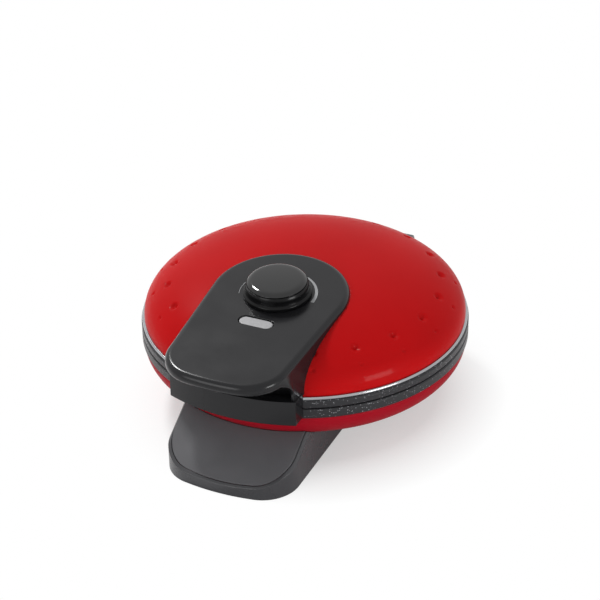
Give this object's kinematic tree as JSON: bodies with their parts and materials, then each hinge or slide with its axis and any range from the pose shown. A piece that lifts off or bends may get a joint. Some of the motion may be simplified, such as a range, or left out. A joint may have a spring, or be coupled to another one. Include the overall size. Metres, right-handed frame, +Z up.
{
  "type": "waffle maker",
  "caption": "Round countertop waffle maker with a domed hinged lid, a lipped handle cover with a turning thermostat knob, two cast grid plates and a wedge stand.",
  "frame": {"origin": "on the table, on the vertical axis of the two round plates, which is also the centre of the part's box", "axes": "+Z up, -Y towards the handle and the knob, +Y towards the hinge and the cord outlet, +X to the right seen from the handle"},
  "size_m": [0.23, 0.289, 0.1161],
  "materials": {
    "gloss_black": "glossy moulded",
    "panel_black": "glossy moulded",
    "matte_black": "fine moulded texture",
    "red_paint": "glossy baked paint",
    "granite_coat": "speckled non-stick coating",
    "polished_steel": "polished",
    "zinc_steel": "zinc plated",
    "element_steel": "heat tinted",
    "shield_alloy": "mill finish",
    "foot_rubber": "matt",
    "cream_plastic": "moulded",
    "lens_grey": "frosted",
    "lamp_glass": "clear tinted"
  },
  "bodies": {
    "base": {"stand": "gloss_black", "stand_panel": "panel_black", "bottom_cover": "matte_black", "rubber_feet": "foot_rubber", "bottom_screws": "zinc_steel", "base_shell": "red_paint", "lower_plate": "granite_coat", "lower_element": "element_steel", "lower_heat_shield": "shield_alloy", "terminal_block": "cream_plastic", "front_block": "gloss_black", "hinge_housing": "gloss_black", "hinge_pin": "zinc_steel", "cord_outlet": "matte_black"},
    "lid": {"lid_shell": "red_paint", "lid_trim_ring": "polished_steel", "upper_plate": "granite_coat", "upper_element": "element_steel", "upper_heat_shield": "shield_alloy", "handle_cover": "gloss_black", "grip_liner": "matte_black", "hinge_arm": "gloss_black", "indicator_lens": "lens_grey", "indicator_lamp": "lamp_glass", "thermostat": "cream_plastic", "thermostat_bracket": "shield_alloy"},
    "knob": {"control_knob": "gloss_black", "thermostat_spindle": "zinc_steel"}
  },
  "joints": [
    {"name": "lid_hinge", "type": "hinge", "parent": "base", "child": "lid", "pos_m": [0, 0.126, 0.057], "axis": [-1, 0, 0], "range_deg": [0, 100]},
    {"name": "knob_turn", "type": "hinge", "parent": "lid", "child": "knob", "pos_m": [0, -0.044, 0.10038], "axis": [0, 0.0797, -0.9968], "range_deg": [0, 210]}
  ]
}
